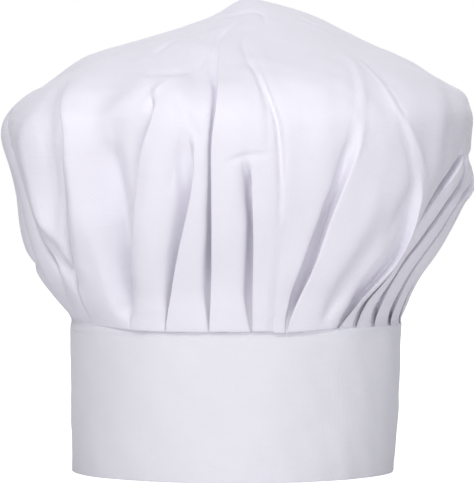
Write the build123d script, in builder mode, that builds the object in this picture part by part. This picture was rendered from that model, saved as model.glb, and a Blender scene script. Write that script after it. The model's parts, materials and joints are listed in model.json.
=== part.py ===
from build123d import *
import math
import os

# Chef toque: a pleated cloth crown sewn into a stiffened headband, which closes at the back with
# hook-and-loop tape.
# Frame: the origin is the centre of the head opening at the band's bottom edge, +Z up, -Y the front
# of the hat and +Y the back, where the band's ends overlap. Millimetres, and degrees from +X to +Y.

# Headband
HEAD_RADIUS = 93.4        # a head 587 mm round
BAND_HEIGHT = 85.0
CLOTH = 0.5               # one ply of poplin, loft included
STIFFENER = 0.6           # non-woven interfacing
PLY_GAP = 0.05
SEAM_ALLOWANCE = 9.0      # depth of the crown's raw edge between the band's plies

# Crown
CROWN_HEIGHT = 271.0      # top of the crown above the band's bottom edge
CROWN_RADIUS = 135.0
CROWN_WALL = 2.4          # loft of the pleated cloth
CROWN_LIFT = 0.1          # between the band's top edge and the first fold
WAIST = (0.83, 0.436)     # points of the crown's outline, as shares of its radius and its height
BELLY = (1.0, 0.69)
SHOULDER = (0.85, 0.83)
FOOT_DIRECTION = (0.2, 1)
CROWN_SLOPE = 0.35        # fall of the crown's top away from its peak

# Closure: three angles, then lengths
BACK = 90.0               # middle of the overlap
OVERLAP = 38.0            # the part of the band that the tab covers
RAMP = 12.0               # where the outer end climbs over the inner one
INNER_END_COVER = 3.5     # how far the inner end runs on under the ramp
TAPE = 0.8                # thickness of each half of the hook-and-loop tape
TAPE_GAP = 0.1            # between the hooks and the loops
TAPE_HEIGHT = 25.0
HOOK_LENGTH = 48.0
LOOP_LENGTH = 85.0
LOOP_INSET = 5.0          # from the tab's root to the loop tape
BEND_GAP = 4.0            # length of bare cloth that bends when the tab is peeled
TAB_TRIM = 0.6            # the tab is this much shorter than the band at top and bottom

# Thread
THREAD = 0.25
STITCH_INSET = 2.2        # from a row of stitches to the edge it follows
SEAM_INSET = 4.0          # from the crown's seam to the band's top edge

# Care label, blank
LABEL_WIDTH = 20.0
LABEL_DROP = 30.0
LABEL_THICKNESS = 0.2
LABEL_BOTTOM = 76.0       # lower edge of the strip that is sewn down
LABEL_SEWN = 4.0          # height of that strip
LABEL_ANGLE = 135.0
LABEL_OFF_LINING = 0.12
LABEL_BEND = 2.0          # gap between the sewn strip and the free flap

PARTS = "parts"

# Radii of the layers, from the head outwards
lining_out = HEAD_RADIUS + CLOTH
stiffener_in = lining_out + PLY_GAP
stiffener_out = stiffener_in + STIFFENER
shell_in = stiffener_out + PLY_GAP
shell_out = shell_in + CLOTH
loop_out = shell_out + TAPE
hook_in = loop_out + TAPE_GAP
tab_in = hook_in + TAPE
climb = tab_in - HEAD_RADIUS      # from a ply of the band to the same ply of the tab that lies on it
tab_out = shell_out + climb

# Places round the closure
tab_start = BACK - OVERLAP / 2
tab_end = BACK + OVERLAP / 2
ramp_start = tab_start - RAMP
inner_end = tab_start - INNER_END_COVER


def turn_of(length, radius):
    """The angle that a length spans along a circle."""
    return math.degrees(length / radius)


def polar(radius, angle):
    return (radius * math.cos(math.radians(angle)), radius * math.sin(math.radians(angle)))


def save(piece, label):
    piece.part.label = label
    export_step(piece.part, f"{PARTS}/{label}.step")


def band_ply(inner, outer, bottom, top):
    """A ply of the headband: a ring from its inner end all the way round, then a ramp up to the tab."""
    with BuildPart() as ply:
        with BuildSketch(Plane.XY.offset(bottom)):
            with BuildLine():
                turn = ramp_start + 360 - inner_end
                CenterArc((0, 0), inner, inner_end, turn)
                CenterArc((0, 0), outer, inner_end, turn)
                Line(polar(inner, inner_end), polar(outer, inner_end))
                Polyline(
                    polar(inner, ramp_start),
                    polar(inner + climb, tab_start),
                    polar(outer + climb, tab_start),
                    polar(outer, ramp_start),
                )
            make_face()
        extrude(amount=top - bottom)
    return ply


def patch(inner, outer, start, end, bottom, top):
    """A rectangle curved about the hat's axis."""
    with BuildPart() as piece:
        with BuildSketch(Plane.XY.offset(bottom)):
            with BuildLine():
                CenterArc((0, 0), inner, start, end - start)
                CenterArc((0, 0), outer, start, end - start)
                Line(polar(inner, start), polar(outer, start))
                Line(polar(inner, end), polar(outer, end))
            make_face()
        extrude(amount=top - bottom)
    return piece


def stitched_rectangle(inner, start, end, bottom, top):
    """A closed row of thread, a curved rectangle's rim, standing out from the radius it is sewn at."""
    outer = inner + THREAD
    turn = turn_of(THREAD, inner)
    hole = patch(inner, outer, start + turn, end - turn, bottom + THREAD, top - THREAD)
    with BuildPart() as rows:
        add(patch(inner, outer, start, end, bottom, top).part)
        add(hole.part, mode=Mode.SUBTRACT)
    return rows


def grooved(piece, thread):
    """A piece with the groove that its thread sinks into."""
    with BuildPart() as cut:
        add(piece.part)
        add(thread.part, mode=Mode.SUBTRACT)
    return cut


def crown_outline(foot_radius, inset):
    """Half of the crown's outline from the band's edge to the peak, moved inwards by inset."""
    points = [(CROWN_RADIUS * r - inset, CROWN_HEIGHT * z) for r, z in (WAIST, BELLY, SHOULDER)]
    peak = (0, CROWN_HEIGHT - inset)
    return Spline((foot_radius, crown_foot), *points, peak, tangents=(FOOT_DIRECTION, (-1, CROWN_SLOPE)))


crown_foot = BAND_HEIGHT + CROWN_LIFT
collar_bottom = BAND_HEIGHT - SEAM_ALLOWANCE
os.makedirs(PARTS, exist_ok=True)

# Headband: outer ply, lining, and the interfacing between them, which stops below the crown's edge
save(band_ply(shell_in, shell_out, 0, BAND_HEIGHT), "band_outer_ply")
save(band_ply(HEAD_RADIUS, lining_out, 0, BAND_HEIGHT), "band_lining")
save(band_ply(stiffener_in, stiffener_out, CLOTH, collar_bottom - PLY_GAP), "band_interfacing")

# Crown: a closed shell with the puffed outer shape, open to the head. Its raw edge hangs between
# the band's plies, from the band's inner end round to the ramp
with BuildPart() as crown:
    with BuildSketch(Plane.XZ):
        with BuildLine():
            outside = crown_outline(shell_out + CLOTH, 0)
            inside = crown_outline(HEAD_RADIUS, CROWN_WALL)
            Line(outside @ 0, inside @ 0)
            Line(outside @ 1, inside @ 1)
        make_face()
    revolve(axis=Axis.Z)
    with BuildSketch(Plane.XY.offset(collar_bottom)):
        with BuildLine():
            CenterArc((0, 0), stiffener_in, inner_end, ramp_start + 360 - inner_end)
            CenterArc((0, 0), stiffener_out, inner_end, ramp_start + 360 - inner_end)
            for angle in (inner_end, ramp_start):
                Line(polar(stiffener_in, angle), polar(stiffener_out, angle))
        make_face()
    extrude(amount=crown_foot - collar_bottom)
save(crown, "crown")

# The row of stitches that holds the crown's edge, where the tab doesn't cover it
seam_bottom = BAND_HEIGHT - SEAM_INSET
seam = patch(
    shell_out, shell_out + THREAD, tab_end + 1, ramp_start + 359, seam_bottom, seam_bottom + THREAD
)
save(seam, "crown_seam_stitching")

# Loop tape, on the outside of the band's inner end. It runs on past the tab, so that the tab can
# close further along
tape_bottom = (BAND_HEIGHT - TAPE_HEIGHT) / 2
tape_top = tape_bottom + TAPE_HEIGHT
loop_start = tab_start + turn_of(LOOP_INSET, loop_out)
loop_end = loop_start + turn_of(LOOP_LENGTH, loop_out)
rim = STITCH_INSET / 2
rim_turn = turn_of(rim, loop_out)
loop_rows = stitched_rectangle(
    loop_out - THREAD, loop_start + rim_turn, loop_end - rim_turn, tape_bottom + rim, tape_top - rim
)
loop_tape = patch(shell_out, loop_out, loop_start, loop_end, tape_bottom, tape_top)
save(grooved(loop_tape, loop_rows), "loop_tape")
save(loop_rows, "loop_tape_stitching")

# Hook tape, on the inside of the tab near its free end. Its thread shows on the tab's outside
hook_end = tab_end - turn_of(STITCH_INSET, hook_in)
hook_start = hook_end - turn_of(HOOK_LENGTH, hook_in)
save(patch(hook_in, tab_in, hook_start, hook_end, tape_bottom, tape_top), "hook_tape")
hook_rows = stitched_rectangle(
    tab_out, hook_start + rim_turn, hook_end - rim_turn, tape_bottom + rim, tape_top - rim
)
save(hook_rows, "hook_tape_stitching")

# Tab: the band's free end, past the cloth that bends. Its interfacing stops short of its edge stitching
flap_start = tab_start + turn_of(BEND_GAP, tab_in)
tab_bottom = TAB_TRIM
tab_top = BAND_HEIGHT - TAB_TRIM
inset_turn = turn_of(STITCH_INSET, tab_out)
save(patch(tab_in, tab_in + CLOTH, flap_start, tab_end, tab_bottom, tab_top), "tab_lining")
save(patch(tab_out - CLOTH, tab_out, flap_start, tab_end, tab_bottom, tab_top), "tab_outer_ply")
tab_interfacing = patch(
    stiffener_in + climb,
    stiffener_out + climb,
    flap_start,
    tab_end - inset_turn,
    tab_bottom + STITCH_INSET,
    tab_top - STITCH_INSET,
)
save(tab_interfacing, "tab_interfacing")
tab_rows = stitched_rectangle(
    tab_out, flap_start, tab_end - inset_turn, tab_bottom + STITCH_INSET, tab_top - STITCH_INSET
)
save(tab_rows, "tab_edge_stitching")

# Care label: a strip sewn to the lining, its thread, and the flap that hangs from it
label_out = HEAD_RADIUS - LABEL_OFF_LINING
label_in = label_out - LABEL_THICKNESS
label_start = LABEL_ANGLE - turn_of(LABEL_WIDTH / 2, label_out)
label_end = LABEL_ANGLE + turn_of(LABEL_WIDTH / 2, label_out)
label_row = patch(
    label_in,
    label_in + THREAD / 2,
    label_start,
    label_end,
    LABEL_BOTTOM + LABEL_SEWN / 2,
    LABEL_BOTTOM + LABEL_SEWN / 2 + THREAD,
)
sewn_edge = patch(label_in, HEAD_RADIUS, label_start, label_end, LABEL_BOTTOM, LABEL_BOTTOM + LABEL_SEWN)
save(grooved(sewn_edge, label_row), "care_label_sewn_edge")
save(label_row, "care_label_stitching")
flap_top = LABEL_BOTTOM - LABEL_BEND
flap = patch(label_in, label_out, label_start, label_end, flap_top - LABEL_DROP, flap_top)
save(flap, "care_label_flap")

# Hinges: the tab turns about the middle of its bare cloth, the label about the gap under its sewn edge
tab_hinge = polar((tab_in + tab_out) / 2, (tab_start + flap_start) / 2)
label_hinge = polar((label_in + label_out) / 2, LABEL_ANGLE)
print(f"tab hinge x, y = {tab_hinge[0]:.2f}, {tab_hinge[1]:.2f}")
label_hinge_height = LABEL_BOTTOM - LABEL_BEND / 2
print(f"label hinge x, y, z = {label_hinge[0]:.2f}, {label_hinge[1]:.2f}, {label_hinge_height:.2f}")
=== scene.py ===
"""Chef toque: knife-pleated cloth crown, stiffened headband, hook-and-loop closure at the back.

Sizes are in millimetres and angles in degrees, turned into metres and radians where meshes are made.
Angles are counted from the front of the hat (-Y) towards its right side as seen from there (+X).
"""

import json
import math

import bmesh
import bpy
import numpy as np
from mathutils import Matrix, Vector


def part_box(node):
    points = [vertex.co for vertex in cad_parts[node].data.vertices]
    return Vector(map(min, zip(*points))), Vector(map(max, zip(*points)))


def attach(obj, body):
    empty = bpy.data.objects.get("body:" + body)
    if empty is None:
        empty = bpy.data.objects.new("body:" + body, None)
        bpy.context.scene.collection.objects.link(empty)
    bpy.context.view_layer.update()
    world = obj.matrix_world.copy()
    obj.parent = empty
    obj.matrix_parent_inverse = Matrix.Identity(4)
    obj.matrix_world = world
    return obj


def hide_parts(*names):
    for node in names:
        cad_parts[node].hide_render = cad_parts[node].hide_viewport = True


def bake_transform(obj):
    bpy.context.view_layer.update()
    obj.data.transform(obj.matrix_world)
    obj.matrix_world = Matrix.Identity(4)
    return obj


MM = 0.001

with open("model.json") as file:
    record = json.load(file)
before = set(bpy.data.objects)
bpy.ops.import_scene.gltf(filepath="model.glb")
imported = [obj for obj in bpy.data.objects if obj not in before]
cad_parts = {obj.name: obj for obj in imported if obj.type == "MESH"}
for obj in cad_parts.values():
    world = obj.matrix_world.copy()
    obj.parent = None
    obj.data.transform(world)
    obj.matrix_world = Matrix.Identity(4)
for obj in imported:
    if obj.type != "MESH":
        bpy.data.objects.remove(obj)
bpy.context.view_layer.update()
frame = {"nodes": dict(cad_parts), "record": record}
scene = bpy.context.scene
rng = np.random.default_rng(7)


# ---------------------------------------------------------------- helpers

def smooth(x, points):
    """Value at x of a smooth curve through (x, y) points, held level past its ends."""
    xs, ys = (np.array(column, float) for column in zip(*points))
    slopes = np.gradient(ys, xs)
    x = np.clip(x, xs[0], xs[-1])
    i = np.clip(np.searchsorted(xs, x, side="right") - 1, 0, len(xs) - 2)
    width = xs[i + 1] - xs[i]
    t = (x - xs[i]) / width
    a = (2 * t**3 - 3 * t**2 + 1) * ys[i] + (t**3 - 2 * t**2 + t) * width * slopes[i]
    b = (3 * t**2 - 2 * t**3) * ys[i + 1] + (t**3 - t**2) * width * slopes[i + 1]
    return a + b


def level(x, points):
    """Value at x of straight runs between (x, y) points, eased at each point, held level past the ends."""
    xs, ys = (np.array(column, float) for column in zip(*points))
    x = np.clip(x, xs[0], xs[-1])
    i = np.clip(np.searchsorted(xs, x, side="right") - 1, 0, len(xs) - 2)
    t = (x - xs[i]) / (xs[i + 1] - xs[i])
    t = t * t * (3 - 2 * t)
    return ys[i] * (1 - t) + ys[i + 1] * t


def b_spline(net, times, closed):
    """A uniform cubic B-spline's points, times per span, along the first axis of a net of control points."""
    if closed:
        padded = np.concatenate([net[-1:], net, net[:2]])
        spans = len(net)
    else:
        first = 2 * net[:1] - net[1:2]
        last = 2 * net[-1:] - net[-2:-1]
        padded = np.concatenate([first, net, last])
        spans = len(net) - 1
    out = []
    for k in range(times):
        t = k / times
        weights = ((1 - t) ** 3, 3 * t**3 - 6 * t**2 + 4, -3 * t**3 + 3 * t**2 + 3 * t + 1, t**3)
        out.append(sum(w * padded[n:n + spans] for n, w in enumerate(weights)) / 6)
    out = np.stack(out, 1).reshape(-1, *net.shape[1:])
    return out if closed else np.concatenate([out, net[-1:]])


def waves(points, length, count, seed, stretch=(1, 1, 1)):
    """A smooth random field from -1 to 1, about: waves of one rough length in random directions."""
    draw = np.random.default_rng(seed)
    directions = draw.normal(size=(count, 3))
    directions /= np.linalg.norm(directions, axis=1)[:, None]
    directions *= math.tau / (length * draw.uniform(0.7, 1.5, count))[:, None] / np.array(stretch)
    phases = draw.uniform(0, math.tau, count)
    return np.sin(points @ directions.T + phases).sum(1) / math.sqrt(count)


def link(name, verts, faces, flat=None):
    """An object from points in millimetres; flat holds each point's place on the flat cloth, as its UV."""
    mesh = bpy.data.meshes.new(name)
    mesh.from_pydata((np.asarray(verts) * MM).tolist(), [], faces)
    mesh.validate()
    mesh.update()
    mesh.polygons.foreach_set("use_smooth", [True] * len(mesh.polygons))
    if flat is not None:
        corners = np.empty(len(mesh.loops), int)
        mesh.loops.foreach_get("vertex_index", corners)
        mesh.uv_layers.new(name="cloth").uv.foreach_set("vector", (np.asarray(flat)[corners] * MM).ravel())
    obj = bpy.data.objects.new(name, mesh)
    scene.collection.objects.link(obj)
    return obj


def grid_faces(rows, columns, closed=False):
    """Quads between the points of a grid; closed joins each row's ends."""
    r, c = np.meshgrid(np.arange(rows - 1), np.arange(columns if closed else columns - 1), indexing="ij")
    n = (c + 1) % columns
    quads = np.stack([r * columns + c, r * columns + n, (r + 1) * columns + n, (r + 1) * columns + c], -1)
    return quads.reshape(-1, 4).tolist()


def merge_close(obj, distance):
    """Join an object's points that lie closer than a distance in metres."""
    mesh = bmesh.new()
    mesh.from_mesh(obj.data)
    bmesh.ops.remove_doubles(mesh, verts=mesh.verts, dist=distance)
    mesh.to_mesh(obj.data)
    mesh.free()


# ---------------------------------------------------------------- camera, lights, floor

CAMERA_PLACE = (0, -2.4, 0.2)      # metres, like everything in this section but the floor
CAMERA_TARGET = (0, 0, 0.1312)
VIEW_WIDTH = 0.2721                # of the picture, at the hat
SENSOR_WIDTH = 36
FLOOR_REACH = 6000                 # millimetres


def make_camera():
    """A long lens, straight in front of the hat and a little above its middle."""
    data = bpy.data.cameras.new("camera")
    camera = bpy.data.objects.new("camera", data)
    scene.collection.objects.link(camera)
    camera.location = CAMERA_PLACE
    camera.rotation_euler = (Vector(CAMERA_TARGET) - camera.location).to_track_quat("-Z", "Y").to_euler()
    data.sensor_fit = "HORIZONTAL"
    data.sensor_width = SENSOR_WIDTH
    data.lens = SENSOR_WIDTH * -CAMERA_PLACE[1] / VIEW_WIDTH
    scene.camera = camera


def area_light(name, place, size, power, target=(0, 0, 0.15)):
    """A rectangular light at a place, turned to a target."""
    data = bpy.data.lights.new(name, "AREA")
    data.shape = "RECTANGLE"
    data.size, data.size_y = size
    data.energy = power
    light = bpy.data.objects.new(name, data)
    scene.collection.objects.link(light)
    light.location = place
    light.rotation_euler = (Vector(target) - light.location).to_track_quat("-Z", "Y").to_euler()


def white_to_camera(nodes, links, lit, glow):
    """A shader that is lit for the light it sends to the hat, and plain white where the camera sees it."""
    path = nodes.new("ShaderNodeLightPath")
    mix = nodes.new("ShaderNodeMixShader")
    links.new(path.outputs["Is Camera Ray"], mix.inputs[0])
    links.new(lit.outputs[0], mix.inputs[1])
    links.new(glow.outputs[0], mix.inputs[2])
    return mix


def make_studio():
    """Soft lights in front, above and behind, a pale room and a pale floor."""
    scene.view_settings.view_transform = "Standard"
    world = bpy.data.worlds.new("studio")
    scene.world = world
    world.use_nodes = True
    nodes, links = world.node_tree.nodes, world.node_tree.links
    room = nodes["Background"]
    room.inputs["Color"].default_value = (0.92, 0.93, 1.0, 1)
    room.inputs["Strength"].default_value = 0.26
    backdrop = nodes.new("ShaderNodeBackground")
    backdrop.inputs["Color"].default_value = (1, 1, 1, 1)
    mix = white_to_camera(nodes, links, room, backdrop)
    links.new(mix.outputs[0], nodes["World Output"].inputs["Surface"])
    area_light("key", (-0.52, -2.3, 1.75), (0.5, 0.8), 29.5)
    area_light("top", (0.1, -0.35, 2.4), (0.9, 0.9), 12)
    area_light("fill", (0.9, -2.5, 0.6), (0.8, 0.9), 8)
    area_light("low_fill", (-0.15, -1.7, 0.12), (1.2, 0.2), 3, target=(0, 0, 0.2))
    area_light("back_left", (-0.7, 2.6, 1.4), (1.2, 1.2), 18)
    area_light("back_right", (1.0, 2.5, 1.2), (1.2, 1.2), 16)
    corners = np.array([(-1, -1, 0), (1, -1, 0), (1, 1, 0), (-1, 1, 0)]) * FLOOR_REACH
    floor = link("floor", corners, [(0, 1, 2, 3)])
    material = bpy.data.materials.new("floor")
    material.use_nodes = True
    nodes, links = material.node_tree.nodes, material.node_tree.links
    shader = nodes["Principled BSDF"]
    shader.inputs["Base Color"].default_value = (0.85, 0.85, 0.86, 1)
    shader.inputs["Roughness"].default_value = 0.9
    glow = nodes.new("ShaderNodeEmission")
    glow.inputs["Strength"].default_value = 0.8
    shader_and_glow = nodes.new("ShaderNodeAddShader")
    links.new(shader.outputs[0], shader_and_glow.inputs[0])
    links.new(glow.outputs[0], shader_and_glow.inputs[1])
    mix = white_to_camera(nodes, links, shader, shader_and_glow)
    links.new(mix.outputs[0], nodes["Material Output"].inputs["Surface"])
    floor.data.materials.append(material)


# ---------------------------------------------------------------- how the hat sits

BAND_HEIGHT = 85
BAND_RADIUS = 95
LEAN = 4.5         # how far the band's right side has sunk in at its bottom edge
DENT = 0.5         # depth of the band's soft unevenness
CREASE = 0.7       # depth of the soft crease below the band's top edge, right of the middle
CREASE_HEIGHT = 69
CREASE_TURN = 0.35    # radians from the front


def settle(points):
    """The soft hat's lean and unevenness, by angle and height alone, so that layers stay on each other."""
    flat = points.reshape(-1, 3)
    x, y, z = flat.T
    turn = np.arctan2(x, -y)
    fade = 1 - np.clip((z - BAND_HEIGHT) / 25, 0, 1)
    side = (0.5 + 0.5 * np.sin(turn)) ** 2
    lean = LEAN * side * np.clip(1 - z / BAND_HEIGHT, 0, 1) ** 0.9
    ring = np.stack([BAND_RADIUS * np.sin(turn), -BAND_RADIUS * np.cos(turn), z], 1)
    soft = DENT * waves(ring, length=55, count=16, seed=11)
    soft += 0.4 * DENT * waves(ring, length=22, count=24, seed=12, stretch=(1, 1, 0.7))
    crease_end = np.clip(1 - ((turn - CREASE_TURN) / 0.6) ** 2, 0, 1)
    soft -= CREASE * np.exp(-((z - CREASE_HEIGHT) / 3) ** 2) * crease_end
    moved = flat.copy()
    moved[:, 0] += np.sin(turn) * fade * soft - lean
    moved[:, 1] -= np.cos(turn) * fade * soft
    return moved.reshape(points.shape)


# ---------------------------------------------------------------- crown

CROWN_CLOTH = 560  # width of the flat disc that the crown is pleated from
# The crown's outline: height and radius, and height and how far the ring's centre lies to the right
RADIUS = (
    (80, 94), (86, 95), (95, 99), (110, 107.5), (130, 118), (150, 126), (170, 131.5), (190, 134.5),
    (205, 132.5), (220, 120), (232, 100), (246, 65), (255, 41.5), (262, 26), (268, 12), (271.5, 0.4),
)
CENTRE = (
    (86, 0), (110, -3.5), (135, -1), (165, 3.5), (190, -1), (215, 4), (232, 6), (244, 6.5), (256, 15),
    (262, 15), (271.5, 6),
)

# Fold edges over the front, from the left round to the right. Each has four curves, by height: its angle, its
# strength, the width of the recess on its left, and how far its crest stands proud, where it does
LEVEL_CREST = ((85, 0), (90, 0))
FRONT_FOLDS = (
    dict(
        path=((85, -88), (105, -78), (130, -75), (160, -80), (200, -86)),
        strength=((85, 1), (120, 1), (160, 0.8), (200, 0)),
        gap=((85, 0.5), (95, 2.5), (150, 2)),
    ),
    dict(
        path=((85, -75), (95, -68), (110, -60), (135, -62), (165, -70), (190, -72), (205, -84)),
        strength=((85, 1), (110, 1.3), (160, 1.4), (190, 1), (215, 0)),
        gap=((85, 0.5), (100, 4), (140, 6), (190, 4)),
        lift=((85, 0), (110, 1), (150, 1.5), (200, 0)),
    ),
    dict(
        path=(
            (85, -60), (105, -54), (130, -48.5), (160, -45.5), (205, -44.5), (217, -50), (228, -62),
            (245, -70),
        ),
        strength=((85, 0.9), (110, 1.2), (150, 1.5), (205, 1.5), (228, 0.7), (242, 0)),
        gap=((85, 0.5), (100, 3), (150, 5), (190, 6), (220, 3)),
        lift=((85, 0), (110, 2), (150, 6), (205, 7), (235, 0)),
    ),
    dict(
        path=((85, -37), (105, -34), (125, -30), (175, -24), (215, -21), (250, -36)),
        strength=((85, 1), (110, 1), (150, 1), (190, 1.1), (205, 0.5), (218, 0)),
        gap=((85, 0.5), (92, 2.5), (105, 7), (132, 15), (156, 22), (205, 24)),
        lift=((85, 0), (120, 0), (160, 1), (210, 0)),
    ),
    dict(
        path=((85, -24), (125, -16.5), (165, -11), (190, -10.5), (225, -15), (250, -26)),
        strength=((85, 1), (115, 1), (155, 0.8), (178, 0.45), (198, 0)),
        gap=((85, 0.5), (92, 1), (105, 4), (130, 5.5), (150, 5), (190, 6)),
    ),
    dict(
        path=((85, -9), (125, -7), (185, -6), (225, -5.5), (240, -8), (254, -16)),
        strength=((85, 1), (120, 1.1), (155, 0.7), (205, 0.65), (232, 1.4), (246, 1.3), (257, 0)),
        gap=(
            (85, 0.5), (92, 1.5), (105, 4), (125, 4), (145, 2), (170, 1), (205, 1), (218, 3.5), (235, 7.5),
            (246, 5),
        ),
    ),
    dict(
        path=((85, 5), (130, 4.5), (180, 3), (240, 2), (255, -2)),
        strength=((85, 1), (140, 1), (165, 0.7), (180, 0)),
        gap=((85, 0.5), (92, 2.5), (105, 4.5), (130, 3.8), (150, 2.2), (175, 1.2)),
    ),
    dict(
        path=((85, 11.5), (130, 11.5), (175, 11.5), (200, 10.5), (222, 8), (240, 7), (255, 9)),
        strength=((140, 0), (160, 0.1), (178, 0.15), (210, 0.15), (232, 0.12), (250, 0)),
        gap=((140, 1), (175, 1.2), (240, 1.5)),
        lift=((150, 0), (180, 1), (225, 1), (245, 0)),
    ),
    dict(
        path=((85, 16), (115, 21.5), (155, 25), (190, 29.5), (225, 35), (250, 46)),
        strength=((85, 1), (140, 1.1), (158, 0.75), (175, 0.55), (192, 0.1), (225, 0.08), (246, 0)),
        gap=((85, 0.5), (95, 3), (110, 6), (130, 6.5), (150, 4.5), (165, 2.5), (200, 2.5)),
        lift=((85, 0), (110, 0.5), (200, 2), (225, 2), (245, 0)),
    ),
    dict(
        path=((85, 35), (105, 45), (125, 51), (160, 49), (205, 44), (235, 45), (252, 52)),
        strength=((85, 1), (105, 1), (130, 0.9), (150, 0.5), (170, 0.06), (205, 0.06), (246, 0)),
        gap=((85, 0.5), (95, 4), (115, 12), (140, 14), (165, 4), (200, 2)),
        lift=((85, 0), (95, 2), (120, 5), (145, 4), (175, 2), (205, 2), (235, 0)),
    ),
    dict(
        path=((85, 44), (101, 48), (110, 53), (125, 55), (145, 58), (162, 62), (187, 80)),
        strength=((85, 0.8), (98, 0.7), (112, 0.75), (165, 0.75), (182, 0.4), (195, 0)),
        gap=((85, 1.5), (96, 4), (110, 1.2), (150, 0.8)),
        lift=((85, 0), (100, -0.5), (125, -2), (150, -2), (180, 0)),
    ),
    dict(
        path=((85, 54.5), (110, 58), (130, 63), (155, 70), (175, 79)),
        strength=((85, 0.8), (97, 0.7), (110, 0.75), (162, 0.75), (182, 0)),
        gap=((85, 1.5), (96, 4), (108, 1.2), (150, 0.8)),
        lift=((85, 0), (95, -0.5), (120, -1.5), (145, -1), (165, 0)),
    ),
    dict(
        path=((85, 66), (105, 69), (130, 73), (155, 81), (175, 88)),
        strength=((85, 0.8), (97, 0.7), (110, 0.75), (162, 0.75), (180, 0)),
        gap=((85, 1.5), (96, 3.5), (108, 1.2), (150, 0.8)),
        lift=((85, 0), (95, -0.5), (120, -1.5), (145, -1), (160, 1)),
    ),
    dict(
        path=((85, 80), (110, 83), (135, 86), (165, 94)),
        strength=((85, 1), (130, 0.9), (160, 0.6), (180, 0)),
        gap=((85, 0.8), (98, 3), (150, 2)),
    ),
)
BACK_FOLDS = 14

# What a fold of full strength measures at each height: how deep it runs, how far its crest stands over the
# cloth on its left, how far it is tucked under, how much the cloth between two folds puffs out, and whether
# that cloth is flat up to the next fold, 0, or slopes down into it, 1
DEPTH = (
    (80, 0.05), (84, 0.1), (87, 1.5), (94, 5), (104, 8), (120, 10), (170, 10), (200, 8), (240, 5), (256, 2),
)
STEP = (
    (80, 0.05), (84, 0.15), (87, 0.8), (94, 1.2), (105, 2), (130, 3), (160, 5.5), (190, 8), (205, 8),
    (240, 3),
)
TUCK = ((80, 12), (86, 12), (92, 10), (100, 7), (115, 5), (140, 3.5), (180, 2), (240, 1))
BULGE = ((80, 0), (86, 0.2), (95, 0.8), (120, 1.5), (170, 2.5), (220, 1), (260, 0))
DIVE = ((120, 0), (180, 1))

# Over the front the pleats puff out and sag over the band's edge; at the sides they rise from inside it
PUFF_OUT = ((83.5, 0), (84.4, 0.6), (85.2, 2), (86, 2.6), (87.2, 2.8), (91, 2.8), (104, 0))
SAG = ((83.5, 0), (84.4, -1.2), (85.2, 0), (86, 2), (86.6, 3.1), (87.2, 3.2), (91, 0))
DRAW_IN = ((84, 0), (88, 0.7), (99, 0))

# Dents, soft valleys and creases: heights and angles along each, its half width at each end, and its depth at
# the middle; a negative depth is a ridge
DENTS = (
    dict(path=((206, -37), (178, -35), (140, -34), (96, -38)), width=(15, 5), depth=16),
    dict(path=((222, -50), (200, -41.5), (160, -42), (120, -48)), width=(6, 5), depth=-3),
    dict(path=((218, -58), (195, -51), (160, -51.5), (132, -55)), width=(4, 4), depth=3),
    dict(path=((123, -98), (117, -80)), width=(5, 2.5), depth=2.5),
    dict(path=((200, -60), (155, -58), (134, -54)), width=(7, 4), depth=-4),
    dict(path=((124, -58), (114, -55)), width=(5, 4), depth=5),
    dict(path=((210, -72), (196, -71), (180, -75)), width=(2, 2), depth=1.5),
    dict(path=((150, 44), (130, 39), (110, 34), (92, 30)), width=(13, 3), depth=4.5),
    dict(path=((198, -10.5), (225, -12), (246, -17)), width=(8, 6), depth=3),
    dict(path=((184, -9), (197, -10.5), (212, -15)), width=(4, 3), depth=1.5),
    dict(path=((174, -15.5), (160, -17)), width=(1.8, 1.4), depth=0.8),
    dict(path=((178, -2.5), (181.5, 2), (182, 7)), width=(1.4, 1.4), depth=1.8),
    dict(path=((237, -12), (228, -17), (226, -24), (228, -32)), width=(2.2, 2.2), depth=1.4),
    dict(path=((222, -19), (213, -22), (205, -24)), width=(2, 2), depth=-1.3),
    dict(path=((254, -30), (243, -32), (234, -32)), width=(3, 2), depth=1.1),
    dict(path=((250, -41), (241, -47)), width=(3, 2), depth=0.9),
    dict(path=((137, -59), (128, -57), (119, -55.5)), width=(2, 2), depth=1.0),
    dict(path=((225, 68), (205, 59), (175, 56)), width=(7, 7), depth=-1.6),
    dict(path=((215, 14), (185, 16), (150, 17)), width=(9, 6), depth=1.2),
    dict(path=((238, 44), (208, 42), (185, 47.5), (171, 50.5)), width=(2.5, 2.5), depth=-0.9),
    dict(path=((236, 41), (208, 30.5), (194, 29.5), (178, 28)), width=(4, 3), depth=-1.2),
    dict(path=((245, 55), (232, 78), (228, 95)), width=(8, 8), depth=1.2),
    dict(path=((216, 82), (213, 100)), width=(6, 6), depth=-2.5),
    dict(path=((180, 82), (177, 100)), width=(3, 3), depth=2.5),
    dict(path=((166, 80), (159, 100)), width=(6, 6), depth=-3.5),
    dict(path=((242, -60), (228, -75), (222, -95)), width=(9, 9), depth=3),
    dict(path=((252, -2), (225, 6), (190, 7.5)), width=(2.5, 2), depth=1.2),
    dict(path=((240, 5.5), (222, 7), (200, 9.6), (168, 10.6)), width=(3, 3), depth=1.8),
    dict(path=((249, -55), (257, -58), (262, -28), (262, -5), (255, 6)), width=(1.8, 1.8), depth=1.3),
    dict(path=((259, 40), (250, 62), (240, 80)), width=(1.6, 1.6), depth=1.2),
    dict(path=((232, -46), (238, -34), (246, -26)), width=(2, 1.5), depth=1.0),
)


def ring_point(height, angle, radius):
    """A point on the crown's ring at a height. Its sides are pushed sideways, and all of it near the top."""
    share = np.clip((height - 235) / 25, 0, 1)
    shift = smooth(height, CENTRE) * (share + (1 - share) * np.sin(angle) ** 2)
    return np.stack([shift + radius * np.sin(angle), -radius * np.cos(angle), height], -1)


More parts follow.
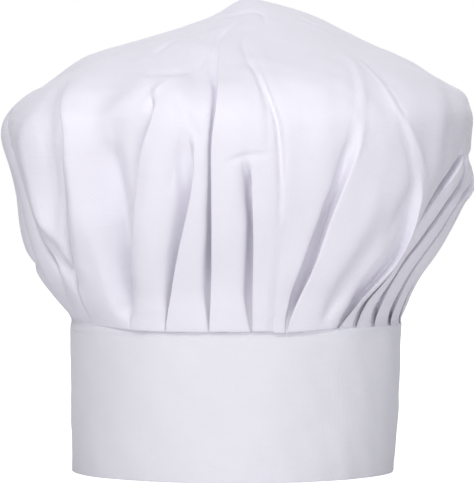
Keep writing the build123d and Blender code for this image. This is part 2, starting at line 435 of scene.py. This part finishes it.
def all_folds():
    """Front folds as listed, then the back's, spread evenly with a little unevenness."""
    folds = list(FRONT_FOLDS)
    first = FRONT_FOLDS[-1]["path"][0][1]
    last = FRONT_FOLDS[0]["path"][0][1] + 360
    for i in range(1, BACK_FOLDS + 1):
        angle = first + (last - first) * i / (BACK_FOLDS + 1)
        lean, drift = rng.uniform(-3, 3, 2)
        top = rng.uniform(170, 245)
        wide = rng.uniform(3, 6)
        folds.append(dict(
            path=((85, angle), (110, angle + 0.5 * lean), (150, angle + lean), (200, angle + lean + drift)),
            strength=((85, 1), (130, rng.uniform(0.8, 1.1)), (0.6 * top + 52, 0.7), (top, 0)),
            gap=((85, 0.5), (95, wide), (150, wide)),
            lift=((85, 0), (120, rng.uniform(-1, 2)), (200, 0)),
        ))
    return folds


def crown_net():
    """Control points of the pleated cloth: a ring for each height, eleven points for each pleat.

    A pleat runs from one fold edge, here, to the next. Each point is a place along the ring and a distance
    out from it: four points over the pleat's face, then seven from the recess, back under the next pleat, to
    that pleat's edge.
    """
    folds = all_folds()
    heights = np.array([
        78, 81, 83.5, 84.4, 85.2, 86, 86.6, 87.2, 88.5, 91, 94, 98, *np.arange(104, 215, 7.0), 219, 226, 233,
        240, 246, 252, 258, 263, 267.5, 270.6,
    ])
    radius = smooth(heights, RADIUS)
    edges = [np.radians(smooth(heights, f["path"])) for f in folds]
    strengths = [level(heights, f["strength"]) for f in folds]
    gaps = [level(heights, f["gap"]) for f in folds]
    lifts = [level(heights, f.get("lift", LEVEL_CREST)) for f in folds]
    depth, step, tuck, bulge, dive = (level(heights, curve) for curve in (DEPTH, STEP, TUCK, BULGE, DIVE))
    puff_out = np.interp(heights, *zip(*PUFF_OUT))
    sag = np.interp(heights, *zip(*SAG))
    sag_shares = rng.uniform(0.75, 1.15, len(folds))
    draw_in = level(heights, DRAW_IN)
    columns = []
    for i, here in enumerate(edges):
        j = (i + 1) % len(folds)
        k = (i + 2) % len(folds)
        width = np.mod(edges[j] - here, math.tau) * radius
        next_width = np.mod(edges[k] - edges[j], math.tau) * radius
        on = strengths[j]
        small = np.minimum(width / 14, 1)
        gap = np.minimum(gaps[j] * np.minimum(on * 2, 1), 0.5 * width)
        # A narrow recess drops steeply, 0, and a wide one slopes down gently, 1
        ease = np.clip((gap - 7) / 10, 0, 1)
        rise = step * on * small
        deep = depth * on * small * (1 - 0.6 * ease)
        # A strong fold is tucked under, and a weak one is only a crease
        tucked = np.clip((on - 0.35) / 0.4, 0, 1) * level(heights, ((212, 1), (232, 0)))
        under = np.minimum(tuck * tucked, 0.8 * next_width)
        puff = bulge * np.clip(width / 25, 0.3, 1.5) * np.minimum(np.minimum(strengths[i], on), 1)
        # Where a fold fades out, its points move apart, so that the cloth is smooth
        spread = (1 - np.minimum(on, 1)) * np.minimum(1.3 * radius / 100, 0.05 * width)
        span = width - gap - 5 * spread
        points = [
            (0.07 * span, 0.2 * puff),
            (0.36 * span, puff - 0.1 * dive * rise),
            (0.66 * span, puff - (0.1 + 0.2 * dive) * (1 - ease) * rise),
            (0.92 * span, 0.3 * puff - (0.2 + 0.5 * dive) * (1 - 0.8 * ease) * rise),
        ]
        fold = (
            (-gap, -(0.8 + 0.2 * dive) * (1 - 0.7 * ease) * rise - 0.1 * deep),
            ((0.35 * ease - 0.75) * gap, -(1 - 0.2 * ease) * rise - (0.7 - 0.5 * ease) * deep),
            (0.4 * under, -rise - deep),
            (under, -rise - 0.95 * deep),
            (0.6 * under, -0.6 * rise - 0.6 * deep),
            (0.03 * under, -0.2 * rise - 0.15 * deep),
            (-0.5 * tucked, 0.5 * tucked),
        )
        # Cloth under the next pleat keeps below that pleat's face, which falls towards its far edge
        for n, (along, out) in enumerate(fold):
            covered = 0.7 * step * strengths[k] * np.clip(along / next_width, 0, 1)
            points.append((width + along + (n - 5) * spread, out - covered))
        for along, out in points:
            angle = here + along / radius
            share = np.clip(along / width, 0, 1)
            front = np.clip(2 * np.cos(angle + 0.1) ** 3 - 0.4, 0, 1)
            proud = lifts[i] * (1 - share) + lifts[j] * share + puff_out * front - draw_in * (1 - front)
            column = ring_point(heights, angle, radius + out + proud * np.clip(radius / 80, 0, 1))
            column[:, 2] -= sag * sag_shares[i] * front
            columns.append(column)
    return np.stack(columns)


def along_path(height, turn, path):
    """Distance in millimetres from each point to a path over the crown, and how far along the path it is."""
    steps = np.linspace(0, 1, 13)
    knots = np.linspace(0, 1, len(path))
    path_height = smooth(steps, list(zip(knots, (p[0] for p in path))))
    path_turn = np.radians(smooth(steps, list(zip(knots, (p[1] for p in path)))))
    radius = np.maximum(smooth(height, RADIUS), 20)
    best = np.full(height.shape, np.inf)
    share = np.zeros(height.shape)
    for n in range(len(steps) - 1):
        rise = path_height[n + 1] - path_height[n]
        run = (path_turn[n + 1] - path_turn[n]) * radius
        up = height - path_height[n]
        side = (turn - path_turn[n]) * radius
        t = np.clip((up * rise + side * run) / (rise**2 + run**2), 0, 1)
        # Near the peak the cloth lies flat, so a millimetre of height is more than a millimetre of cloth
        slant = 1 + 1.2 * np.clip((path_height[n] - 205) / 40, 0, 1)
        distance = np.hypot(side - t * run, (up - t * rise) * slant)
        closer = distance < best
        best = np.where(closer, distance, best)
        share = np.where(closer, (n + t) / (len(steps) - 1), share)
    return best, share


def dent(points):
    """Push the crown's cloth in and out along its dents and creases, and by a little unevenness all over."""
    height = points[..., 2]
    shift = smooth(height, CENTRE) * np.clip((height - 235) / 25, 0, 1)
    turn = np.arctan2(points[..., 0] - shift, -points[..., 1])
    push = np.zeros(height.shape)
    for mark in DENTS:
        heights, turns = np.array(mark["path"]).T
        # Only points near the mark are moved
        reach = 2.5 * max(mark["width"])
        near = (height > heights.min() - reach) & (height < heights.max() + reach)
        near &= (turn > np.radians(turns.min() - reach)) & (turn < np.radians(turns.max() + reach))
        distance, share = along_path(height[near], turn[near], mark["path"])
        width = mark["width"][0] * (1 - share) + mark["width"][1] * share
        push[near] -= mark["depth"] * np.exp(-(distance / width) ** 2) * (0.4 + 0.6 * np.sin(share * math.pi))
    flat = points.reshape(-1, 3)
    soft = waves(flat, length=60, count=24, seed=3).reshape(height.shape)
    ripple = waves(flat, length=17, count=40, seed=5, stretch=(1, 1, 2.6)).reshape(height.shape)
    away = level(height, ((86, 0), (105, 1), (240, 1), (262, 0.4)))
    push += away * (1.1 * soft + 0.25 * ripple)
    slope = (smooth(height + 1, RADIUS) - smooth(height - 1, RADIUS)) / 2
    out = np.stack([np.sin(turn), -np.cos(turn), -slope], -1) / np.hypot(1, slope)[..., None]
    return points + out * push[..., None]


def make_crown():
    """The crown: one surface of pleated cloth, shut at its peak and open at the band."""
    points = b_spline(crown_net(), 4, closed=True)
    points = b_spline(points.transpose(1, 0, 2), 5, closed=False)
    points = settle(dent(points))
    rows, columns = points.shape[:2]
    verts = np.concatenate([points.reshape(-1, 3), [points[-1].mean(0) + (0, 0, 0.1)]])
    faces = grid_faces(rows, columns, closed=True)
    peak = rows * columns
    faces += [(peak - columns + i, peak - columns + (i + 1) % columns, peak) for i in range(columns)]
    run = np.linspace(CROWN_CLOTH / 2, 1, rows)[:, None]
    turn = np.linspace(0, math.tau, columns, endpoint=False)[None, :] - math.pi / 2
    flat = np.stack([run * np.cos(turn), run * np.sin(turn)], -1).reshape(-1, 2)
    crown = link("crown_cloth", verts, faces, np.concatenate([flat, [(0, 0)]]))
    merge_close(crown, 0.12 * MM)
    return crown


# ---------------------------------------------------------------- band, tab, tapes and label

CLOTH = 0.5          # thickness of a ply
OUTER_PLY = 0.88 * CLOTH    # and of the outer ply, which is pressed flat
STIFFENER = 0.6      # and of the interfacing
LABEL = 0.2          # and of the label's ribbon
INNER_END = 157.5    # where the band's inner end lies, under the overlap
RAMP_START = 149.0   # where the outer end starts to climb over the inner one
RAMP = 12.0          # how far round it climbs
TAB_ROOT = 2.0       # from the ramp's start to the line where the tab bends
TAB_CORNER = 3.0     # radius of the tab's corners
TAB_RIM = 2.2        # how far the interfacing stops short of the tab's edges
HEM = 6.0            # how far the outer ply is turned in at the band's top edge
STITCH = 2.3         # length of a stitch
STITCH_PITCH = 2.7
THREAD = 0.13        # radius of the thread
HOOK_ROWS = 1.2      # from one row of hooks to the next
HOOK_PITCH = 0.7     # degrees from one hook of a row to the next


def spans(node):
    """Lowest and highest radius, angle and height of a CAD node."""
    points = np.array([vertex.co for vertex in frame["nodes"][node].data.vertices]) / MM
    radius = np.hypot(points[:, 0], points[:, 1])
    turn = np.degrees(np.arctan2(points[:, 0], -points[:, 1])) % 360
    return [(values.min(), values.max()) for values in (radius, turn, points[:, 2])]


head_radius = frame["record"]["mounts"][0]["dims"]["r_mm"]
band_top = spans("band_outer_ply")[2][1]
tab_radius, (_, tab_end), (tab_bottom, tab_top) = spans("tab_outer_ply")
stiffener_top = spans("band_interfacing")[2][1]
outer_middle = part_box("band_outer_ply")[1].x / MM - CLOTH / 2
lining_middle = head_radius + CLOTH / 2
stiffener_middle = (outer_middle + lining_middle) / 2
climb = tab_radius[1] - CLOTH / 2 - outer_middle
band_seam = RAMP_START + 360 + TAB_ROOT


def place(radius, turn, height):
    """Points at a radius, an angle and a height."""
    radius, turn, height = np.broadcast_arrays(radius, np.radians(turn), height)
    return np.stack([radius * np.sin(turn), -radius * np.cos(turn), height], -1)


def ribbon(path, thickness):
    """A closed outline round a line of (radius, height) points: both its sides and its round ends."""
    path = np.array(path, float)
    along = np.gradient(path, axis=0)
    along *= thickness / 2 / np.linalg.norm(along, axis=1)[:, None]
    side = np.stack([along[:, 1], -along[:, 0]], 1)
    round_end = np.radians([45, 90, 135])[:, None]
    last = path[-1] + side[-1] * np.cos(round_end) + along[-1] * np.sin(round_end)
    first = path[0] - side[0] * np.cos(round_end) - along[0] * np.sin(round_end)
    return np.concatenate([path + side, last, (path - side)[::-1], first])


def quarter(centre, radius, start, steps=4):
    """Points of a quarter circle in the (radius, height) plane, from an angle of start degrees, clockwise."""
    angles = np.radians(np.linspace(start, start - 90, steps + 1))
    return [(centre[0] + radius * math.cos(a), centre[1] + radius * math.sin(a)) for a in angles]


def sweep(name, outlines, turns):
    """A closed strip of cloth: one ribbon outline for each angle round the hat, with both ends shut."""
    outlines = np.array(outlines)
    columns, ring = outlines.shape[:2]
    points = place(outlines[..., 0], np.array(turns)[:, None], outlines[..., 1])
    lengths = np.linalg.norm(np.diff(outlines, axis=1), axis=2).cumsum(1)
    across = np.concatenate([np.zeros((columns, 1)), lengths], 1)
    along = np.radians(np.array(turns))[:, None] * outer_middle
    flat = np.stack(np.broadcast_arrays(along, across), -1).reshape(-1, 2)
    faces = [
        (i * ring + j, (i + 1) * ring + j, (i + 1) * ring + (j + 1) % ring, i * ring + (j + 1) % ring)
        for i in range(columns - 1) for j in range(ring)
    ]
    n = ring // 2 - 3
    for first, order in ((0, 1), ((columns - 1) * ring, -1)):
        ends = [(j, j + 1, 2 * n + 1 - j, 2 * n + 2 - j) for j in range(n - 1)]
        ends += [(n - 1, n, n + 1, n + 2, n + 3), (2 * n + 2, 2 * n + 3, 2 * n + 4, 2 * n + 5, 0)]
        faces += [tuple(first + j for j in face)[::order] for face in ends]
    return link(name, settle(points).reshape(-1, 3), faces, flat)


def side_path(radius, bottom, top, rows):
    """Points straight up or down a wall."""
    return [(radius, z) for z in np.linspace(bottom, top, rows)]


def outer_path():
    """The outer ply's line: from its hem inside, over the band's top edge, down and under the bottom."""
    over = 0.235
    inside = outer_middle - 2 * over
    edge = (outer_middle - over, band_top - over - OUTER_PLY / 2)
    seam = [(0.10, 84), (0.15, 83), (0.12, 82), (-0.06, 81.1), (0.05, 80.2), (0.04, 78.5), (0, 76.5)]
    turn = CLOTH + STIFFENER / 2
    return [
        (inside, band_top - HEM), (inside, band_top - HEM / 2),
        *quarter(edge, over, 180), *quarter(edge, over, 90)[1:],
        *((outer_middle + out, z) for out, z in seam),
        *side_path(outer_middle, 74, turn + 1.5, 20),
        *quarter((outer_middle - turn + 0.25, turn - 0.3), turn - 0.25, 0),
        (lining_middle, 0.2),
    ]


def tab_path(count):
    """The tab's outer ply, its edges turned over the interfacing, in as many points as the band's."""
    middle = outer_middle + climb
    turn = 0.5
    top = (middle - turn, tab_top - turn - CLOTH / 2)
    bottom = (middle - turn, tab_bottom + turn + CLOTH / 2)
    return [
        (top[0] - 0.1, top[1] + turn), (top[0] - 0.05, top[1] + turn),
        *quarter(top, turn, 90, 8),
        *side_path(middle, top[1] - 1, bottom[1] + 1, count - 17),
        *quarter(bottom, turn, 0, 4),
        (bottom[0] - 0.1, bottom[1] - turn),
    ]


def layer(name, band_line, tab_line, thickness, tab_stop=0.0):
    """One layer of the band and its tab, as two pieces that meet on the ramp."""
    band_outline = ribbon(band_line, thickness)
    tab_outline = ribbon(tab_line, thickness)
    middle = (tab_top + tab_bottom) / 2
    closing = stiffener_middle + climb
    end = tab_end + 360

    def outline(turn):
        raised = np.clip((turn - RAMP_START - 360) / RAMP, 0, 1)
        raised = raised * raised * (3 - 2 * raised)
        shape = band_outline * (1 - raised) + tab_outline * raised
        left = np.radians(end - turn) * tab_radius[1]
        corner = TAB_CORNER * (1 - math.sqrt(1 - min(1, max(0, 1 - left / TAB_CORNER)) ** 2))
        shape[:, 1] = middle + (shape[:, 1] - middle) * (1 - corner / middle)
        pinch = 0.35 * np.clip(1 - left / TAB_RIM, 0, 1) ** 2
        shape[:, 0] -= pinch * np.sign(np.mean(shape[:, 0]) - closing)
        return shape

    band_turns = np.linspace(INNER_END, band_seam, 360)
    last = end - math.degrees(tab_stop / tab_radius[1])
    tab_turns = [*np.arange(band_seam, last - 2, 0.5), *np.linspace(last - 2, last, 12)]
    band = sweep("band_" + name, [outline(t) for t in band_turns], band_turns)
    tab = sweep("tab_" + name, [outline(t) for t in tab_turns], tab_turns)
    return band, tab


def make_band():
    """The band's and the tab's three layers: outer ply, lining and interfacing."""
    outer = outer_path()
    rows = 22
    outer_pieces = layer("outer_cloth", outer, tab_path(len(outer)), OUTER_PLY)
    lining_pieces = layer(
        "lining_cloth",
        side_path(lining_middle, CLOTH + 0.1, band_top - 0.3, rows),
        side_path(lining_middle + climb, tab_bottom + 0.6, tab_top - 0.6, rows),
        CLOTH,
    )
    stiff_pieces = layer(
        "interfacing_sheet",
        side_path(stiffener_middle, CLOTH + STIFFENER / 2, stiffener_top - STIFFENER / 2, rows),
        side_path(stiffener_middle + climb, tab_bottom + TAB_RIM, tab_top - TAB_RIM, rows),
        STIFFENER,
        tab_stop=TAB_RIM,
    )
    return outer_pieces, lining_pieces, stiff_pieces


def make_loop_tape():
    """The loop half of the tape: a thin backing, flat all round its edge, with a raised pile inside that."""
    radius, turn, height = spans("loop_tape")
    turns = np.linspace(*turn, 170)
    rows = np.linspace(height[0] + 0.4, height[1] - 0.4, 60)
    thickness = radius[1] - radius[0]
    backing = 0.4
    side_edge, end_edge = 1.6, 1    # without pile
    outlines = []
    for t in turns:
        from_end = np.radians(np.minimum(t - turn[0], turn[1] - t)) * radius[1]
        from_side = np.minimum(rows - height[0], height[1] - rows)
        pile = np.clip((from_side - side_edge) / 0.5, 0, 1) * np.clip(from_end - end_edge, 0, 1)
        fuzz = waves(place(radius[1], t, rows), length=1.1, count=30, seed=21)
        outline = ribbon([(radius[0] + backing / 2, z) for z in rows], backing)
        outline[:len(rows), 0] += (thickness - backing - 0.02) * pile * (0.75 + 0.25 * fuzz)
        outlines.append(outline)
    return sweep("loop_tape_pile", outlines, turns)


def tubes(paths, radii, outward, sides=6):
    """Points and faces of thin round tubes, one for each path; outward is a direction across each path."""
    verts, faces = [], []
    ring = np.linspace(0, math.tau, sides, endpoint=False)
    for path, out in zip(paths, outward):
        along = np.gradient(path, axis=0)
        across = np.cross(along, out)
        across /= np.linalg.norm(across, axis=1)[:, None]
        up = np.cross(across, along)
        up /= np.linalg.norm(up, axis=1)[:, None]
        circle = across[:, None] * np.cos(ring)[None, :, None] + up[:, None] * np.sin(ring)[None, :, None]
        first = len(verts) * len(path) * sides
        verts.append((path[:, None] + circle * np.array(radii)[:, None, None]).reshape(-1, 3))
        faces += [[first + i for i in face] for face in grid_faces(len(path), sides, closed=True)]
        faces.append([first + i for i in range(sides)])
        faces.append([first + (len(path) - 1) * sides + i for i in range(sides)][::-1])
    return np.concatenate(verts), faces


def stitch_row(name, radius, corners, inside=False):
    """Separate stitches in straight runs between (angle, height) corners, on a wall of that radius."""
    paths, outward = [], []
    sink = np.array([-0.12, 0.05, 0.09, 0.05, -0.12]) * (-1 if inside else 1)
    share = np.array([-0.5, -0.35, 0, 0.35, 0.5])
    for (turn, z), (next_turn, next_z) in zip(corners, corners[1:]):
        length = math.hypot(math.radians(next_turn - turn) * radius, next_z - z)
        count = max(1, round(length / STITCH_PITCH))
        for i in range(count):
            t = (i + 0.5 + share * STITCH / STITCH_PITCH) / count
            paths.append(place(radius + sink, turn + (next_turn - turn) * t, z + (next_z - z) * t))
            outward.append(place(1.0, turn + (next_turn - turn) * (i + 0.5) / count, 0.0))
    verts, faces = tubes(paths, THREAD * np.array([0.6, 1, 1, 1, 0.6]), outward)
    return link(name, settle(verts), faces)


def stitched_frame(name, node, radius, inset):
    """A closed row of stitches near the rim of the space that a CAD thread node takes."""
    _, turn, height = spans(node)
    left, right = turn[0] + inset, turn[1] - inset
    low, high = height
    return stitch_row(name, radius, [(left, low), (right, low), (right, high), (left, high), (left, low)])


def make_hook_tape():
    """The hook half: a flat woven tape under rows of small bent hooks."""
    radius, turn, height = spans("hook_tape")
    base = 0.45
    line = side_path(radius[1] - base / 2 - 0.02, height[0] + 0.3, height[1] - 0.3, 20)
    turns = np.linspace(*turn, 90)
    tape = sweep("hook_tape_base", [ribbon(line, base)] * len(turns), turns)
    stem = np.array([(0, 0), (0.18, 0), (0.28, 0.08), (0.29, 0.22), (0.2, 0.3)])
    side_edge, end_edge = 1.8, 0.9    # without hooks, in millimetres and in degrees
    paths, outward = [], []
    for row, z in enumerate(np.arange(height[0] + side_edge, height[1] - side_edge, HOOK_ROWS)):
        for t in np.arange(turn[0] + end_edge + HOOK_PITCH / 2 * (row % 2), turn[1] - end_edge, HOOK_PITCH):
            paths.append(place(radius[1] - base - stem[:, 0], t, z + stem[:, 1]))
            outward.append(place(1.0, t + 90, 0.0))
    verts, faces = tubes(paths, [0.1, 0.09, 0.08, 0.08, 0.06], outward, sides=5)
    hooks = link("hook_tape_hooks", settle(verts), faces)
    return tape, hooks


def make_label():
    """The blank care label: a ribbon sewn flat at its top, and its free flap, which curls away a little."""
    radius, turn, height = spans("care_label_flap")
    _, _, (sewn_bottom, sewn_top) = spans("care_label_sewn_edge")
    middle = sum(radius) / 2
    turns = np.linspace(*turn, 24)
    sewn = sweep(
        "care_label_sewn_strip",
        [ribbon(side_path(middle, sewn_bottom, sewn_top - 0.1, 6), LABEL)] * len(turns),
        turns,
    )
    drop = np.linspace(0, 1, 24)
    outlines = []
    for t in turns:
        across = (t - turn[0]) / (turn[1] - turn[0])
        curl = 2.2 * drop**2 * (0.7 + 0.5 * across) + 0.25 * np.sin(drop * 7) * drop
        heights = sewn_bottom - 0.1 - drop * (sewn_bottom - height[0])
        outlines.append(ribbon(np.stack([middle - curl, heights], 1), LABEL))
    return sewn, sweep("care_label_ribbon", outlines, turns)


# ---------------------------------------------------------------- materials

TO_MM = (1000, 1000, 1000)    # from a place in metres


class Recipe:
    """A material's node tree, with a short way to add a node and join its inputs."""

    def __init__(self, name, colour, roughness, sheen):
        self.material = bpy.data.materials.new(name)
        self.material.use_nodes = True
        self.nodes = self.material.node_tree.nodes
        self.links = self.material.node_tree.links
        self.shader = self.nodes["Principled BSDF"]
        self.shader.inputs["Sheen Weight"].default_value = sheen
        self.shader.inputs["Sheen Roughness"].default_value = 0.5
        self.shader.inputs["Specular IOR Level"].default_value = 0.25
        self.colour = colour
        self.roughness = roughness

    def add(self, kind, settings=(), **inputs):
        """A node with its inputs set or joined, by name or by number (_0), and its first output."""
        node = self.nodes.new("ShaderNode" + kind)
        for key, value in dict(settings).items():
            setattr(node, key, value)
        for key, value in inputs.items():
            socket = node.inputs[int(key[1:])] if key[0] == "_" else node.inputs[key.replace("_", " ")]
            if isinstance(value, bpy.types.NodeSocket):
                self.links.new(value, socket)
            else:
                socket.default_value = value
        return node.outputs[0]

    def maths(self, operation, a, b=0.0):
        return self.add("Math", {"operation": operation}, _0=a, _1=b)

    def noise(self, vector, scale, detail=2.0):
        return self.add("TexNoise", Vector=vector, Scale=scale, Detail=detail)

    def stretched(self, vector, scale):
        return self.add("Mapping", Vector=vector, Scale=scale)

    def cloth_place(self):
        """The place on the flat cloth in millimetres, and its part along each of the two threads."""
        place_mm = self.stretched(self.add("UVMap", {"uv_map": "cloth"}), TO_MM)
        split = self.nodes.new("ShaderNodeSeparateXYZ")
        self.links.new(place_mm, split.inputs[0])
        return place_mm, split.outputs[0], split.outputs[1]

    def finish(self, height, clouds, spread=0.03):
        """Join a height in millimetres to the bump, and a slow noise to the colour and the roughness."""
        dark = [c * (1 - spread) for c in self.colour]
        light = [min(1, c * (1 + spread)) for c in self.colour]
        mix = self.nodes.new("ShaderNodeMix")
        mix.data_type = "RGBA"
        mix.inputs[6].default_value = (*dark, 1)
        mix.inputs[7].default_value = (*light, 1)
        self.links.new(clouds, mix.inputs[0])
        self.links.new(mix.outputs[2], self.shader.inputs["Base Color"])
        rough = self.add("MapRange", Value=clouds, To_Min=self.roughness - 0.06, To_Max=self.roughness + 0.06)
        self.links.new(rough, self.shader.inputs["Roughness"])
        bump = self.add("Bump", Height=height, Distance=MM)
        self.links.new(bump, self.shader.inputs["Normal"])
        return self.material


def poplin(name, colour, pitch, weave, slub, wrinkle, roughness=0.82, sheen=0.12):
    """Plain-woven cotton: threads, thicker threads here and there, and a slightly crumpled surface."""
    recipe = Recipe(name, colour, roughness, sheen)
    place_mm, *axes = recipe.cloth_place()
    warp, weft = (recipe.maths("SINE", recipe.maths("MULTIPLY", axis, math.pi / pitch)) for axis in axes)
    threads = recipe.maths("MULTIPLY", recipe.maths("MULTIPLY", warp, weft), weave)
    thick_warp = recipe.noise(recipe.stretched(place_mm, (1.1, 0.05, 1)), 1.0)
    thick_weft = recipe.noise(recipe.stretched(place_mm, (0.05, 1.1, 1)), 1.0)
    slubs = recipe.maths("MULTIPLY", recipe.maths("ADD", thick_warp, thick_weft), slub)
    crumple = recipe.maths("MULTIPLY", recipe.noise(place_mm, 0.14, 3.0), wrinkle)
    height = recipe.maths("ADD", recipe.maths("ADD", threads, slubs), crumple)
    clouds = recipe.maths("MULTIPLY", recipe.maths("ADD", recipe.noise(place_mm, 0.05, 4.0), thick_weft), 0.5)
    return recipe.finish(height, clouds)


def fleece(name, colour, scale, depth, roughness, sheen, spread=0.03):
    """A fibrous surface with no weave: interfacing, loop pile, or the twist of a thread."""
    recipe = Recipe(name, colour, roughness, sheen)
    where = recipe.nodes.new("ShaderNodeTexCoord").outputs["Object"]
    place_mm = recipe.stretched(where, TO_MM)
    fibres = recipe.noise(recipe.stretched(place_mm, (1, 1, 2.5)), scale, 6.0)
    height = recipe.maths("MULTIPLY", fibres, depth)
    return recipe.finish(height, recipe.noise(place_mm, 0.2, 3.0), spread)


def satin(name, colour):
    """Fine close ribs across a ribbon, with a soft gloss."""
    recipe = Recipe(name, colour, 0.38, 0.3)
    place_mm, _, across = recipe.cloth_place()
    ribs = recipe.maths("SINE", recipe.maths("MULTIPLY", across, math.tau / 0.45))
    height = recipe.maths("MULTIPLY", ribs, 0.02)
    return recipe.finish(height, recipe.noise(place_mm, 0.6, 3.0))


# ---------------------------------------------------------------- the hat

def dress(piece, material, body, slot, *nodes):
    """Give a piece its material, hide the CAD nodes that it stands for, and hang it on the body that it rides
    on. The slot is not used.
    """
    piece.data.materials.append(material)
    if nodes:
        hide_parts(*nodes)
    if body:
        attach(piece, body)
    return piece


make_camera()
make_studio()

# The crown's poplin is the band's white cloth painted lighter: painted light standing in for light that
# shines through its single ply.
crown_poplin_painted_light = poplin(
    "crown_poplin_painted_light", (0.87, 0.85, 0.917), pitch=0.45, weave=0.02, slub=0.05, wrinkle=0.35,
)
band_poplin = poplin(
    "band_poplin", (0.83, 0.82, 0.87), pitch=0.45, weave=0.02, slub=0.07, wrinkle=0.2,
)
lining_poplin = poplin(
    "lining_poplin", (0.81, 0.81, 0.84), pitch=0.55, weave=0.03, slub=0.06, wrinkle=0.25,
)
interfacing_felt = fleece(
    "interfacing_felt", (0.84, 0.84, 0.82), scale=1.2, depth=0.12, roughness=0.95, sheen=0.1,
)
thread_twist = fleece(
    "thread_twist", (0.86, 0.86, 0.9), scale=5.0, depth=0.05, roughness=0.6, sheen=0.2,
)
loop_fleece = fleece(
    "loop_fleece", (0.84, 0.84, 0.86), scale=3.0, depth=0.25, roughness=0.95, sheen=0.4, spread=0.06,
)
hook_nylon = fleece(
    "hook_nylon", (0.84, 0.84, 0.86), scale=2.2, depth=0.05, roughness=0.45, sheen=0.1,
)
label_satin = satin("label_satin", (0.87, 0.87, 0.88))

crown = dress(make_crown(), crown_poplin_painted_light, "band", "crown_cloth", "crown")

# The band's layers: CAD nodes of the band and of the tab, slot, material, and flat sizes of both in metres
layers = (
    ("band_outer_ply", "tab_outer_ply", "band_cloth", band_poplin, (0.587, 0.093), (0.082, 0.086)),
    ("band_lining", "tab_lining", "lining_cloth", lining_poplin, (0.580, 0.085), (0.082, 0.084)),
    ("band_interfacing", "tab_interfacing", "interfacing", interfacing_felt, (0.580, 0.076), (0.082, 0.080)),
)
for (band_piece, tab_piece), row in zip(make_band(), layers):
    band_node, tab_node, slot, material, band_flat, tab_flat = row
    dress(band_piece, material, "band", slot, band_node)
    dress(tab_piece, material, None, slot, tab_node)
    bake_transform(tab_piece)

loop_tape = dress(make_loop_tape(), loop_fleece, "band", "loop_pile", "loop_tape")
hook_tape, hooks = make_hook_tape()
dress(hook_tape, hook_nylon, "closure_tab", "hook_tape", "hook_tape")
dress(hooks, hook_nylon, "closure_tab", "hook_tape")

_, _, (seam_low, seam_high) = spans("crown_seam_stitching")
seam_height = (seam_low + seam_high) / 2
seam = stitch_row(
    "crown_seam_stitches", outer_middle + CLOTH * 0.4,
    [(tab_end + 1, seam_height), (RAMP_START + 359, seam_height)],
)
dress(seam, thread_twist, "band", "thread", "crown_seam_stitching")
loop_surface = spans("loop_tape")[0][0] + 0.45
loop_stitches = stitched_frame("loop_tape_stitches", "loop_tape_stitching", loop_surface, 0)
dress(loop_stitches, thread_twist, "band", "thread", "loop_tape_stitching")
tab_surface = tab_radius[1] - 0.03
edge_stitches = stitched_frame("tab_edge_stitches", "tab_edge_stitching", tab_surface, 1.2)
dress(edge_stitches, thread_twist, "closure_tab", "thread", "tab_edge_stitching")
hook_stitches = stitched_frame("hook_tape_stitches", "hook_tape_stitching", tab_surface, 0)
dress(hook_stitches, thread_twist, "closure_tab", "thread", "hook_tape_stitching")

label_strip, label_flap = make_label()
dress(label_strip, label_satin, "band", "label_ribbon", "care_label_sewn_edge")
dress(label_flap, label_satin, None, "label_ribbon", "care_label_flap")
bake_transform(label_flap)
_, label_turns, (label_low, label_high) = spans("care_label_stitching")
label_row = (label_low + label_high) / 2
label_stitches = stitch_row(
    "care_label_stitches", spans("care_label_sewn_edge")[0][0],
    [(label_turns[0] + 0.5, label_row), (label_turns[1] - 0.5, label_row)], inside=True,
)
dress(label_stitches, thread_twist, "band", "thread", "care_label_stitching")
